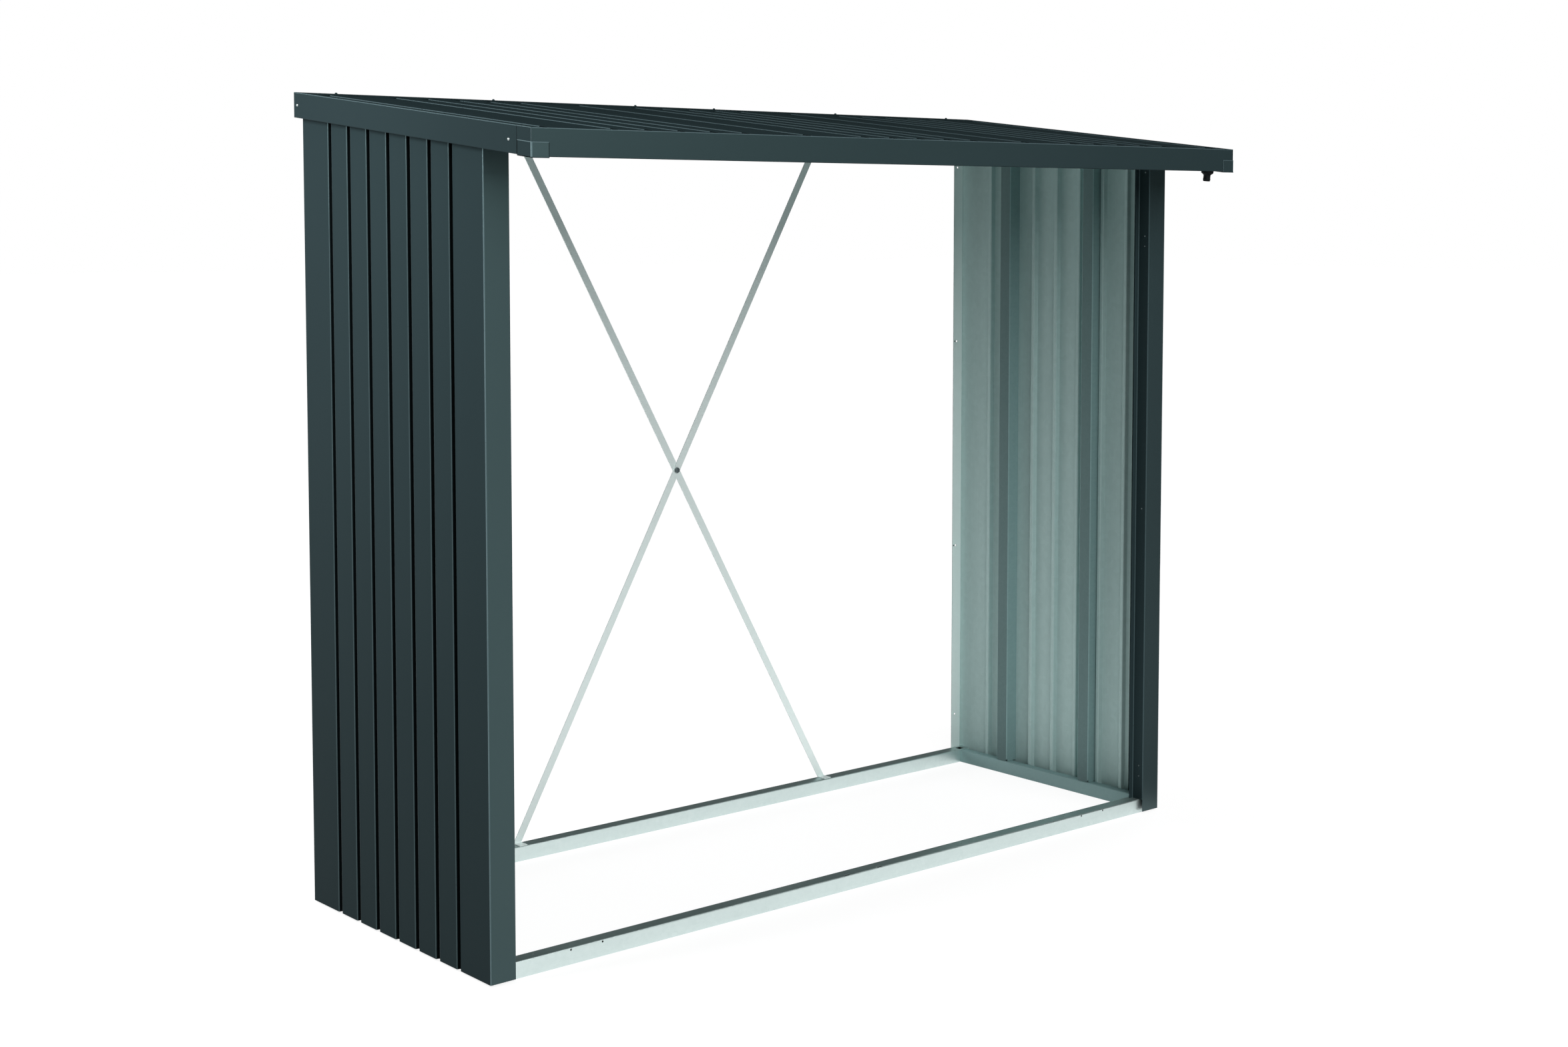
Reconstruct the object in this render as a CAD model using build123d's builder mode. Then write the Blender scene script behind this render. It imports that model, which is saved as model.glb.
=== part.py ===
from build123d import *
import os
from math import hypot

# Open-fronted log store of folded sheet steel. Millimetres, +Z up, +Y towards the rear,
# origin on the ground under the middle of the whole store.

# Overall sizes
wall_span = 2247.0  # across the outer faces of the side walls
wall_depth = 799.0  # front face of the posts to rear face of the walls
eaves_height = 1873.0  # top edge of the gutter
ridge_height = 1988.5  # top edge of the roof at the rear
side_overhang = 21.5  # roof edge beyond the wall's outer face
front_overhang = 218.0  # gutter's face ahead of the posts

# Sheet thicknesses, clearances and cuts
sheet = 1.0  # walls, roof and gutter
post_sheet = 1.2
frame_sheet = 1.5  # rails, stiffeners and headers
strap_sheet = 2.0
clearance = 0.2  # between pieces that bear on each other
overrun = 30.0  # how far a cut runs past what it cuts

# Side walls
wall_foot = 4.6  # lower edge above the ground
wall_edge_flat = 131.0  # from the wall's front and rear faces to the nearest groove's middle
groove_mouth = 16.0
groove_floor = 10.0
groove_depth = 13.5
groove_steps = range(-3, 4)  # counted from the middle of the wall
rear_flange = 38.5
joint_tab = 15.0  # edge of the wall sheet that lies behind the post
flange_hole_diameter = 6.0
flange_hole_inset = 24.0  # from the wall's outer face
flange_hole_shares = (0.0753, 0.3588, 0.6978, 0.9829)  # of the eaves height

# Front corner posts
post_face = 66.7
post_return = 37.0
post_lip = 14.0
return_hole_diameter = 4.0
return_hole_inset = 15.5  # from the post's front face
return_hole_shares = (0.0561, 0.0721, 0.4645, 0.8585, 0.8735, 0.968)  # of the eaves height

# Base rails
rail_height = 38.4
rail_depth = 38.0
side_rail_depth = 26.0
front_rail_setback = 12.0  # behind the post's front face
rear_rail_setback = 6.0  # ahead of the wall's rear face
rail_hole_diameter = 5.0
rail_hole_insets = (310.0, 222.0)  # from the walls' outer faces
rail_hole_drop = 4.6  # below the rail's top
front_rail_hole_shares = (-0.882, 0.3225, 0.6395, 0.676, 0.8834)  # of half the wall span
side_rail_hole_shares = (0.17, 0.8515)  # of the wall depth, from the front
rail_slot_length = 20.5
rail_slot_width = 7.5
rail_slot_place = 55.0
corner_hole = 22.0  # square hole in the rear rail's top at each end
corner_hole_inset = 28.0  # from the wall's outer and rear faces
corner_screw_near = 34.0  # from the nearer of the same two faces
corner_screw_far = 54.5  # from the farther of them

# Wall stiffeners
stiffener_width = 42.0
stiffener_steps = (-2, 2)  # the groove that the front one stands behind, the one that the rear one covers

# Headers under the roof
header_height = 60.0
header_depth = 38.0

# Roof
roof_edge_flat = 53.0  # from the roof's side edges to the nearest groove's middle
roof_panel_steps = (-8, 0, 8)  # middle of each panel, in groove pitches
panel_groove_steps = (-2, -1, 0, 1, 2)  # grooves from the panel's middle
panel_joint_steps = (-4, 4)  # joint grooves from the panel's middle
panel_setback = 31.0  # front edge behind the gutter's face
fascia_height = 60.7
fascia_lip = 12.0
trim_width = 65.0

# Gutter, corner clips and drain spout
gutter_height = 60.8
gutter_depth = 55.0
gutter_hem = 8.0
clip_sheet = 1.0
clip_front = 45.0
clip_side = 53.0
clip_height = 33.0
clip_drop = 2.0  # below the gutter
spout_inset = 74.0  # from the gutter's end
spout_collar_diameter = 33.0
spout_collar_height = 7.0
spout_taper_height = 5.0
spout_tube_diameter = 19.0
spout_bore = 14.0
spout_length = 29.0

# Cross bracing
strap_width = 20.8
brace_reach = 535.0  # foot and head from the middle
brace_foot_tab = 30.0
bolt_diameter = 8.0
bolt_head_across = 13.0
bolt_head_height = 5.0

# Places that follow from the sizes
half_span = wall_span / 2
half_roof = half_span + side_overhang
groove_pitch = (wall_depth / 2 - wall_edge_flat) / groove_steps[-1]
roof_pitch = (half_roof - roof_edge_flat) / (roof_panel_steps[-1] + panel_joint_steps[-1])
edge_gap = clearance + clip_sheet
overall_depth = edge_gap + front_overhang + wall_depth + clearance + sheet
y_roof_rear = overall_depth / 2
y_wall_rear = y_roof_rear - sheet - clearance
y_wall_front = y_wall_rear - wall_depth
y_wall_middle = (y_wall_front + y_wall_rear) / 2
y_gutter = y_wall_front - front_overhang
y_gutter_rear = y_gutter + gutter_depth

roof_run = y_roof_rear - y_gutter
roof_rise = ridge_height - eaves_height
roof_length = hypot(roof_run, roof_rise)
slope_cos = roof_run / roof_length
slope_sin = roof_rise / roof_length
slope = roof_rise / roof_run

panel_face = -sheet - clearance  # top of the panels under the roof's top plane
support_drop = -panel_face + groove_depth + sheet + clearance
roof_plane = Plane(origin=(0, y_gutter, eaves_height), x_dir=(1, 0, 0), z_dir=(0, -slope_sin, slope_cos))
support_plane = roof_plane.offset(-support_drop)

x_wall_inside = half_span - post_sheet - clearance
x_rib = half_span - groove_depth - sheet  # inner face of the grooves' backs
x_side_rail_outer = x_rib - clearance
x_side_rail_inner = x_side_rail_outer - side_rail_depth
x_return = half_span - post_face
y_return = y_wall_front + post_return

y_front_rail = y_wall_front + front_rail_setback
y_rear_rail = y_wall_rear - rear_rail_setback
rail_top = rail_height + clearance

sides = (("left", -1), ("right", 1))


def roof_z(y, drop):
    """Height of the plane that lies drop below the roof's top plane, square to it."""
    return eaves_height + (y - y_gutter) * slope - drop / slope_cos


def groove_y(step):
    return y_wall_middle + step * groove_pitch


def folded(path, thickness):
    """Outline of a sheet folded along the path, with its thickness on the path's left."""
    normals = []
    for (ax, ay), (bx, by) in zip(path, path[1:]):
        length = hypot(bx - ax, by - ay)
        normals.append(((ay - by) / length, (bx - ax) / length))
    before = [normals[0]] + normals
    after = normals + [normals[-1]]
    back = []
    for (x, y), (px, py), (qx, qy) in zip(path, before, after):
        reach = thickness / (1 + px * qx + py * qy)
        back.append((x + (px + qx) * reach, y + (py + qy) * reach))
    return path + back[::-1]


def groove(place, face):
    """Corners of one groove, as pairs of place along the sheet and level."""
    return [
        (place - groove_mouth / 2, face),
        (place - groove_floor / 2, face - groove_depth),
        (place + groove_floor / 2, face - groove_depth),
        (place + groove_mouth / 2, face),
    ]


def channel_path(low, high, foot, low_top, high_top):
    """Channel that is open below, as seen on its end."""
    return [(low, foot), (low, low_top), (high, high_top), (high, foot)]


def wall_path(sign):
    """Outer face of a wall sheet seen from above, from the tab behind the post to the rear flange."""
    corners = []
    for step in groove_steps:
        corners += groove(groove_y(step), half_span)
    y_tab, _ = corners[0]
    corners[0] = (y_tab, x_wall_inside)
    path = [(y_tab - joint_tab, x_wall_inside)] + corners
    path += [(y_wall_rear, half_span), (y_wall_rear, half_span - rear_flange)]
    return [(sign * x, y) for y, x in path]


def post_path(sign):
    """Outer face of a corner post seen from above, from its side strip round to its inner lip."""
    y_strip = groove_y(groove_steps[0]) - groove_mouth / 2
    path = [
        (half_span, y_strip),
        (half_span, y_wall_front),
        (x_return, y_wall_front),
        (x_return, y_return),
        (x_return - post_lip, y_return),
    ]
    return [(sign * x, y) for x, y in path]


def panel_path(middle):
    """Top face of a roof panel seen from the front, from its left edge to its right edge."""
    left_joint, right_joint = [(middle + step) * roof_pitch for step in panel_joint_steps]
    x_edge = half_roof - sheet - clearance
    if middle == roof_panel_steps[0]:
        path = [(-x_edge, panel_face)] + groove(left_joint, panel_face)
    else:
        path = [(left_joint + clearance / 2, panel_face - groove_depth)] + groove(left_joint, panel_face)[2:]
    for step in panel_groove_steps:
        path += groove((middle + step) * roof_pitch, panel_face)
    if middle == roof_panel_steps[-1]:
        path += groove(right_joint, panel_face) + [(x_edge, panel_face)]
    else:
        path += groove(right_joint, panel_face)[:2] + [(right_joint - clearance / 2, panel_face - groove_depth)]
    return path


def slope_section(y):
    """Plane square to the roof's slope, above the given place, facing the front."""
    return Plane(origin=(0, y, roof_z(y, 0)), x_dir=(1, 0, 0), z_dir=(0, -slope_cos, -slope_sin))


def write(piece, name):
    piece.part.label = name
    export_step(piece.part, f"parts/{name}.step")


os.makedirs("parts", exist_ok=True)

# Base frame: channels that are open below, the side rails between the front and rear ones
with BuildPart() as front_rail:
    with BuildSketch(Plane.YZ):
        Polygon(
            *folded(
                channel_path(y_front_rail, y_front_rail + rail_depth, 0, rail_height, rail_height),
                -frame_sheet,
            ),
            align=None,
        )
    extrude(amount=x_wall_inside, both=True)
    z_hole = rail_height - rail_hole_drop
    for inset in rail_hole_insets:
        with Locations(*[(sign * (half_span - inset), y_front_rail, z_hole) for _, sign in sides]):
            Cylinder(
                rail_hole_diameter / 2, rail_hole_drop, rotation=(90, 0, 0), mode=Mode.SUBTRACT
            )
    y_hole = y_front_rail + rail_depth / 2
    with Locations(*[(share * half_span, y_hole, rail_height) for share in front_rail_hole_shares]):
        Cylinder(rail_hole_diameter / 2, overrun, mode=Mode.SUBTRACT)
    y_slot = y_front_rail + frame_sheet
    with Locations(*[(sign * rail_slot_place, y_slot, rail_height) for _, sign in sides]):
        Box(
            rail_slot_length,
            rail_slot_width,
            overrun,
            align=(Align.CENTER, Align.MIN, Align.CENTER),
            mode=Mode.SUBTRACT,
        )
write(front_rail, "base_front_rail")

with BuildPart() as rear_rail:
    with BuildSketch(Plane.YZ):
        Polygon(
            *folded(
                channel_path(y_rear_rail - rail_depth, y_rear_rail, 0, rail_height, rail_height),
                -frame_sheet,
            ),
            align=None,
        )
    extrude(amount=x_wall_inside, both=True)
    x_corner = half_span - corner_hole_inset
    y_corner = y_wall_rear - corner_hole_inset
    with Locations(*[(sign * x_corner, y_corner, rail_height) for _, sign in sides]):
        Box(corner_hole, corner_hole, overrun, mode=Mode.SUBTRACT)
    x_hole = half_span - corner_screw_far
    y_hole = y_wall_rear - corner_screw_near
    with Locations(*[(sign * x_hole, y_hole, rail_height) for _, sign in sides]):
        Cylinder(rail_hole_diameter / 2, overrun, mode=Mode.SUBTRACT)
write(rear_rail, "base_rear_rail")

y_side_rail_front = y_front_rail + rail_depth + clearance
y_side_rail_rear = y_rear_rail - rail_depth - clearance
for side, sign in sides:
    with BuildPart() as side_rail:
        with BuildSketch(Plane.XZ.offset(-y_side_rail_rear)):
            Polygon(
                *folded(
                    channel_path(
                        sign * x_side_rail_inner, sign * x_side_rail_outer, 0, rail_height, rail_height
                    ),
                    -sign * frame_sheet,
                ),
                align=None,
            )
        extrude(amount=y_side_rail_rear - y_side_rail_front)
        x_hole = sign * (half_span - corner_screw_near)
        y_holes = [y_wall_front + share * wall_depth for share in side_rail_hole_shares]
        y_holes.append(y_wall_rear - corner_screw_far)
        with Locations(*[(x_hole, y, rail_height) for y in y_holes]):
            Cylinder(rail_hole_diameter / 2, overrun, mode=Mode.SUBTRACT)
    write(side_rail, f"base_{side}_rail")

# Side walls: grooved sheets with a flange folded in along the rear edge
wall_reach = ridge_height - wall_foot
for side, sign in sides:
    with BuildPart() as wall:
        with BuildSketch(Plane.XY.offset(wall_foot)):
            Polygon(*folded(wall_path(sign), sign * sheet), align=None)
        extrude(amount=wall_reach)
        split(bisect_by=support_plane, keep=Keep.BOTTOM)
        x_hole = sign * (half_span - flange_hole_inset)
        with Locations(*[(x_hole, y_wall_rear, share * eaves_height) for share in flange_hole_shares]):
            Cylinder(flange_hole_diameter / 2, overrun, rotation=(90, 0, 0), mode=Mode.SUBTRACT)
    write(wall, f"{side}_wall_sheet")

# Front corner posts: the return and its lip stop above the front rail
for side, sign in sides:
    with BuildPart() as post:
        with BuildSketch(Plane.XY.offset(wall_foot)):
            Polygon(*folded(post_path(sign), -sign * post_sheet), align=None)
        extrude(amount=wall_reach)
        split(bisect_by=support_plane, keep=Keep.BOTTOM)
        x_cut_outer = x_return + post_sheet + clearance
        cut_width = post_lip + post_sheet + overrun
        with Locations((sign * (x_cut_outer - cut_width / 2), y_wall_front + post_sheet, 0)):
            Box(
                cut_width,
                post_return + overrun,
                rail_top,
                align=(Align.CENTER, Align.MIN, Align.MIN),
                mode=Mode.SUBTRACT,
            )
        y_hole = y_wall_front + return_hole_inset
        with Locations(*[(sign * x_return, y_hole, share * eaves_height) for share in return_hole_shares]):
            Cylinder(return_hole_diameter / 2, post_lip, rotation=(0, 90, 0), mode=Mode.SUBTRACT)
    write(post, f"{side}_front_post")

# Wall stiffeners: upright channels on the side rails, open towards the wall
x_stiffener_outer = half_span - sheet - clearance
front_step, rear_step = stiffener_steps
y_behind_groove = groove_y(front_step) + groove_mouth / 2 + sheet + clearance
stiffener_places = (
    ("front", y_behind_groove + stiffener_width / 2),
    ("rear", groove_y(rear_step)),
)
for side, sign in sides:
    for place, y_middle in stiffener_places:
        y_low = y_middle - stiffener_width / 2
        y_high = y_middle + stiffener_width / 2
        path = [
            (sign * x_stiffener_outer, y_low),
            (sign * x_side_rail_inner, y_low),
            (sign * x_side_rail_inner, y_high),
            (sign * x_stiffener_outer, y_high),
        ]
        with BuildPart() as stiffener:
            with BuildSketch(Plane.XY.offset(rail_top)):
                Polygon(*folded(path, -sign * frame_sheet), align=None)
            extrude(amount=wall_reach)
            split(bisect_by=support_plane, keep=Keep.BOTTOM)
        write(stiffener, f"{side}_wall_{place}_stiffener")

# Headers: channels that carry the roof's grooves, with tops on the roof's slope
y_strap_front = y_rear_rail - 2 * strap_sheet - clearance - strap_sheet
header_spans = (
    ("front_header", y_wall_front + post_sheet + clearance, y_return - clearance, x_return - clearance),
    ("rear_header", y_strap_front - clearance - header_depth, y_strap_front - clearance, x_wall_inside),
)
for name, y_low, y_high, half_length in header_spans:
    foot = roof_z(y_low, support_drop) - header_height
    path = channel_path(y_low, y_high, foot, roof_z(y_low, support_drop), roof_z(y_high, support_drop))
    with BuildPart() as header:
        with BuildSketch(Plane.YZ):
            Polygon(*folded(path, -frame_sheet), align=None)
        extrude(amount=half_length, both=True)
    write(header, name)

# Roof panels: grooved sheets from the gutter to the rear trim
y_panel_front = y_gutter + panel_setback
y_panel_rear = y_roof_rear - sheet - clearance - support_drop * slope_sin
panel_names = ("roof_panel_left", "roof_panel_middle", "roof_panel_right")
for name, middle in zip(panel_names, roof_panel_steps):
    with BuildPart() as panel:
        with BuildSketch(slope_section(y_panel_rear)):
            Polygon(*folded(panel_path(middle), -sheet), align=None)
        extrude(amount=(y_panel_rear - y_panel_front) / slope_cos)
    write(panel, name)

# Fascias: side edges of the roof, with a lip over the panel, one under it and a closed rear end
y_fascia_front = y_gutter_rear + clearance
fascia_drop = fascia_height * slope_cos
for side, sign in sides:
    path = [
        (sign * (half_roof - fascia_lip), 0),
        (sign * half_roof, 0),
        (sign * half_roof, -fascia_drop),
        (sign * (half_span + clearance), -fascia_drop),
    ]
    z_top = roof_z(y_roof_rear, sheet)
    z_low = roof_z(y_roof_rear, fascia_drop)
    with BuildPart() as fascia:
        with BuildSketch(slope_section(y_roof_rear + overrun)):
            Polygon(*folded(path, -sign * sheet), align=None)
        extrude(amount=roof_length + overrun)
        split(bisect_by=Plane.XZ.offset(-y_roof_rear), keep=Keep.TOP)
        split(bisect_by=Plane.XZ.offset(-y_fascia_front), keep=Keep.BOTTOM)
        with BuildSketch(Plane.XZ.offset(-y_roof_rear)):
            Polygon(
                (sign * half_roof, z_top),
                (sign * (half_roof - fascia_lip), z_top),
                (sign * (half_roof - fascia_lip), z_low),
                (sign * half_roof, z_low),
                align=None,
            )
        extrude(amount=sheet)
    write(fascia, f"{side}_fascia")

# Rear trim: an angle over the panels' rear ends, between the fascias
trim_drop = fascia_drop - sheet - clearance
with BuildPart() as trim:
    with BuildSketch(Plane.YZ):
        Polygon(
            *folded(
                [
                    (y_roof_rear - trim_width, roof_z(y_roof_rear - trim_width, 0)),
                    (y_roof_rear, roof_z(y_roof_rear, 0)),
                    (y_roof_rear, roof_z(y_roof_rear, trim_drop)),
                ],
                -sheet,
            ),
            align=None,
        )
    extrude(amount=half_roof - fascia_lip - clearance, both=True)
write(trim, "rear_roof_trim")

# Gutter: a trough with its floor on the roof's slope, a hem in front and its rear wall under the panels
gutter_fall = gutter_height * slope_cos
spout_x = half_roof - spout_inset
spout_y = (y_gutter + y_gutter_rear) / 2
spout_plane = Plane(
    origin=(spout_x, spout_y, roof_z(spout_y, gutter_fall)),
    x_dir=(1, 0, 0),
    z_dir=(0, slope_sin, -slope_cos),
)
with BuildPart() as gutter:
    with BuildSketch(Plane.YZ):
        Polygon(
            *folded(
                [
                    (y_gutter + gutter_hem, eaves_height),
                    (y_gutter, eaves_height),
                    (y_gutter, eaves_height - gutter_height),
                    (y_gutter_rear, roof_z(y_gutter_rear, gutter_fall)),
                    (y_gutter_rear, roof_z(y_gutter_rear, support_drop)),
                ],
                sheet,
            ),
            align=None,
        )
    extrude(amount=half_roof - sheet - clearance, both=True)
    with Locations(spout_plane):
        Cylinder(spout_bore / 2, overrun, mode=Mode.SUBTRACT)
write(gutter, "front_gutter")

for side, sign in sides:
    with BuildPart() as cap:
        with BuildSketch(Plane.YZ.offset(sign * half_roof)):
            Polygon(
                (y_gutter, eaves_height),
                (y_gutter_rear, roof_z(y_gutter_rear, 0)),
                (y_gutter_rear, roof_z(y_gutter_rear, gutter_fall)),
                (y_gutter, eaves_height - gutter_height),
                align=None,
            )
        extrude(amount=-sign * sheet)
    write(cap, f"gutter_end_cap_{side}")

# Corner clips: angles round the lower half of the gutter's ends, with a floor under them
x_clip = half_roof + edge_gap
y_clip = y_gutter - edge_gap
for side, sign in sides:
    path = [
        (sign * (x_clip - clip_front), y_clip),
        (sign * x_clip, y_clip),
        (sign * x_clip, y_clip + clip_side),
    ]
    with BuildPart() as clip:
        with BuildSketch(Plane.XY.offset(eaves_height - gutter_height - overrun)):
            Polygon(*folded(path, sign * clip_sheet), align=None)
        extrude(amount=gutter_height + overrun)
        split(bisect_by=roof_plane.offset(clip_height - gutter_fall - clip_drop), keep=Keep.BOTTOM)
        split(bisect_by=roof_plane.offset(-gutter_fall - clip_drop), keep=Keep.TOP)
        with BuildSketch(Plane.YZ.offset(sign * x_clip)):
            Polygon(
                (y_clip, roof_z(y_clip, gutter_fall + clearance)),
                (y_clip + clip_side, roof_z(y_clip + clip_side, gutter_fall + clearance)),
                (y_clip + clip_side, roof_z(y_clip + clip_side, gutter_fall + clip_drop)),
                (y_clip, roof_z(y_clip, gutter_fall + clip_drop)),
                align=None,
            )
        extrude(amount=-sign * clip_front)
    write(clip, f"gutter_corner_clip_{side}")

# Drain spout: a collar, a taper and a hose tube, square to the gutter's floor
with BuildPart(spout_plane.offset(clearance)) as spout:
    Cylinder(
        spout_collar_diameter / 2,
        spout_collar_height,
        align=(Align.CENTER, Align.CENTER, Align.MIN),
    )
    with Locations((0, 0, spout_collar_height)):
        Cone(
            spout_collar_diameter / 2,
            spout_tube_diameter / 2,
            spout_taper_height,
            align=(Align.CENTER, Align.CENTER, Align.MIN),
        )
    Cylinder(
        spout_tube_diameter / 2,
        spout_length,
        align=(Align.CENTER, Align.CENTER, Align.MIN),
    )
    Cylinder(spout_bore / 2, 2 * spout_length + overrun, mode=Mode.SUBTRACT)
write(spout, "drain_spout")

# Cross bracing: two straps behind the rear header, each with a foot bent forward on the rear rail
z_foot = rail_top
z_head = roof_z(y_strap_front, support_drop) - header_height / 2
z_crossing = (z_foot + z_head) / 2
brace_run = hypot(2 * brace_reach, z_head - z_foot)
strap_level_half = strap_width / 2 * brace_run / (z_head - z_foot)
brace_names = (("brace_strap_rising_right", -1, 0), ("brace_strap_rising_left", 1, 1))
for name, sign, layer in brace_names:
    x_foot = sign * brace_reach
    y_face = y_strap_front + layer * (strap_sheet + clearance)
    with BuildPart() as strap:
        with BuildSketch(Plane.XZ.offset(-y_face - strap_sheet)):
            Polygon(
                (x_foot - strap_level_half, z_foot),
                (x_foot + strap_level_half, z_foot),
                (-x_foot + strap_level_half, z_head),
                (-x_foot - strap_level_half, z_head),
                align=None,
            )
        extrude(amount=strap_sheet)
        with Locations((x_foot, y_face + strap_sheet, z_foot)):
            Box(
                2 * strap_level_half,
                strap_sheet + brace_foot_tab,
                strap_sheet,
                align=(Align.CENTER, Align.MAX, Align.MIN),
            )
        with Locations((0, y_face, z_crossing)):
            Cylinder(bolt_diameter / 2 + clearance, overrun, rotation=(90, 0, 0), mode=Mode.SUBTRACT)
    write(strap, name)

# Bolt through the straps' crossing, with its head in front and its nut behind
y_bolt_front = y_strap_front - clearance
y_bolt_rear = y_strap_front + 2 * (strap_sheet + clearance)
hexagon_radius = bolt_head_across / 3**0.5
with BuildPart() as bolt:
    with BuildSketch(Plane.XZ.offset(-y_bolt_front)):
        with Locations((0, z_crossing)):
            RegularPolygon(hexagon_radius, 6)
    extrude(amount=bolt_head_height)
    with BuildSketch(Plane.XZ.offset(-y_bolt_rear)):
        with Locations((0, z_crossing)):
            Circle(bolt_diameter / 2)
    extrude(amount=y_bolt_rear - y_bolt_front)
    with BuildSketch(Plane.XZ.offset(-y_bolt_rear)):
        with Locations((0, z_crossing)):
            RegularPolygon(hexagon_radius, 6)
    extrude(amount=-bolt_head_height)
write(bolt, "brace_bolt")
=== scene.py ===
from math import hypot, radians

import bmesh
import bpy
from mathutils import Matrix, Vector


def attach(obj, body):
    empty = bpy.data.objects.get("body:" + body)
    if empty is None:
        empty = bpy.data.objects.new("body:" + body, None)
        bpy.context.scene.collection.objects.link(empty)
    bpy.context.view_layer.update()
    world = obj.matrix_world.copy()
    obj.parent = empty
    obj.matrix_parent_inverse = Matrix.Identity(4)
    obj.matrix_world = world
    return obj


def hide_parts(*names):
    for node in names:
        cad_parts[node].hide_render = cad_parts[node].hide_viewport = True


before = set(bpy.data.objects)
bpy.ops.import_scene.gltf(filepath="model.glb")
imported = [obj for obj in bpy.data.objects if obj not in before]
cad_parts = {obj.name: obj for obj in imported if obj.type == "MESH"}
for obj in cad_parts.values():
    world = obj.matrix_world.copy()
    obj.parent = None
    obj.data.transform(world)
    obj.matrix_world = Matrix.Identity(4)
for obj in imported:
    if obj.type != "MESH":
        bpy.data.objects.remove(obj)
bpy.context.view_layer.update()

# Sizes of the store in metres, the same as the solids have
half_span = 1.1235  # outer faces of the side walls
half_roof = 1.145
y_wall_front = -0.2905
y_wall_rear = 0.5085
y_gutter = -0.5085
y_gutter_rear = -0.4535
y_roof_rear = 0.5097
eaves = 1.873
ridge = 1.9885
gap = 0.0002  # between pieces that bear on each other
sheet = 0.001
post_sheet = 0.0012
frame_sheet = 0.0015
strap_sheet = 0.002
past = 0.03  # how far a run or a cutter goes past where it ends

wall_foot = 0.0046
groove_pitch = 0.0895
groove_mouth = 0.016
groove_floor = 0.010
groove_depth = 0.0135
groove_steps = range(-3, 4)
rear_flange = 0.0385
joint_tab = 0.015
flange_hole_radius = 0.003
flange_hole_inset = 0.024
flange_hole_shares = (0.0753, 0.3588, 0.6978, 0.9829)  # of the eaves height

post_face = 0.0667
post_return = 0.037
post_lip = 0.014
return_rivet_inset = 0.0155
return_rivet_shares = (0.0561, 0.0721, 0.4645, 0.8585, 0.8735, 0.968)  # of the eaves height

rail_height = 0.0384
rail_depth = 0.038
side_rail_depth = 0.026
rail_hole_radius = 0.0025
rail_notch = 0.022
front_rail_inset = 0.012
rear_rail_inset = 0.006
stiffener_width = 0.042
header_height = 0.060
header_depth = 0.038

roof_pitch = 0.091
panel_middles = (-8, 0, 8)  # in groove pitches
panel_grooves = (-2, -1, 0, 1, 2)
panel_joint = 4  # from a panel's middle to its joint, in groove pitches
panel_inset = 0.031  # from the gutter's front to the panels' ends
fascia_height = 0.0607
fascia_lip = 0.012
trim_width = 0.065

gutter_height = 0.0608
gutter_hem = 0.008
clip_front = 0.045
clip_side = 0.053
clip_height = 0.033
clip_drop = 0.002
spout_x = 1.071
spout_bore = 0.007

strap_width = 0.0208
brace_reach = 0.535
brace_tab = 0.030

# Roundings and rims that only the scene has
sheet_fold = 0.0016  # how far a fold's rounding reaches from its corner
post_fold = 0.0022
frame_fold = 0.0026
strap_fold = 0.0035
rim_width = 0.0014  # width of the painted highlight along the edges of the gutter's caps and clips, and of the painted shade at some of their edges

# How finely the pieces are made
fold_segments = 3
round_corners = 24  # of small holes and heads
weld = 0.00001  # points nearer than this become one
smooth_angle = radians(38)  # sharper edges stay sharp

# Places that follow from the sizes
roof_run = y_roof_rear - y_gutter
roof_rise = ridge - eaves
roof_length = hypot(roof_run, roof_rise)
slope = roof_rise / roof_run
slope_cos = roof_run / roof_length
slope_sin = roof_rise / roof_length
up_slope = Vector((0, slope_cos, slope_sin))
off_roof = Vector((0, -slope_sin, slope_cos))
panel_face = -sheet - gap
support_drop = groove_depth + 2 * (sheet + gap)
x_wall_inside = half_span - post_sheet - gap
x_return = half_span - post_face
y_return = y_wall_front + post_return
x_side_rail_outer = half_span - groove_depth - sheet - gap
x_side_rail_inner = x_side_rail_outer - side_rail_depth
y_front_rail = y_wall_front + front_rail_inset
y_rear_rail = y_wall_rear - rear_rail_inset
rail_top = rail_height + gap
sides = (("left", -1), ("right", 1))
along_x = Vector((1, 0, 0))
along_y = Vector((0, 1, 0))
up = Vector((0, 0, 1))


def roof_z(y, drop):
    """Height of the plane that lies drop under the roof's top plane, square to it."""
    return eaves + (y - y_gutter) * slope - drop / slope_cos


def groove_y(step):
    """Middle of a wall's groove, counted in pitches from the middle of the wall."""
    return (y_wall_front + y_wall_rear) / 2 + step * groove_pitch


def groove(place, face):
    """Corners of one groove, as pairs of place along the sheet and level."""
    return [
        (place - groove_mouth / 2, face),
        (place - groove_floor / 2, face - groove_depth),
        (place + groove_floor / 2, face - groove_depth),
        (place + groove_mouth / 2, face),
    ]


# Materials


def linear(colour):
    """Linear RGBA of an sRGB hex colour."""
    parts = [int(colour[i : i + 2], 16) / 255 for i in (1, 3, 5)]
    return [c / 12.92 if c <= 0.04045 else ((c + 0.055) / 1.055) ** 2.4 for c in parts] + [1]


def add(tree, kind, sockets=(), links=(), **settings):
    """Add a node with its settings, the values of its sockets and the links into them."""
    made = tree.nodes.new(kind)
    for name, value in settings.items():
        setattr(made, name, value)
    for name, value in dict(sockets).items():
        made.inputs[name].default_value = value
    for name, source in dict(links).items():
        tree.links.new(source, made.inputs[name])
    return made


def start_material(name):
    """An empty material with its output node."""
    material = bpy.data.materials.new(name)
    material.use_nodes = True
    material.node_tree.nodes.clear()
    return material, material.node_tree, material.node_tree.nodes.new("ShaderNodeOutputMaterial")


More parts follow.
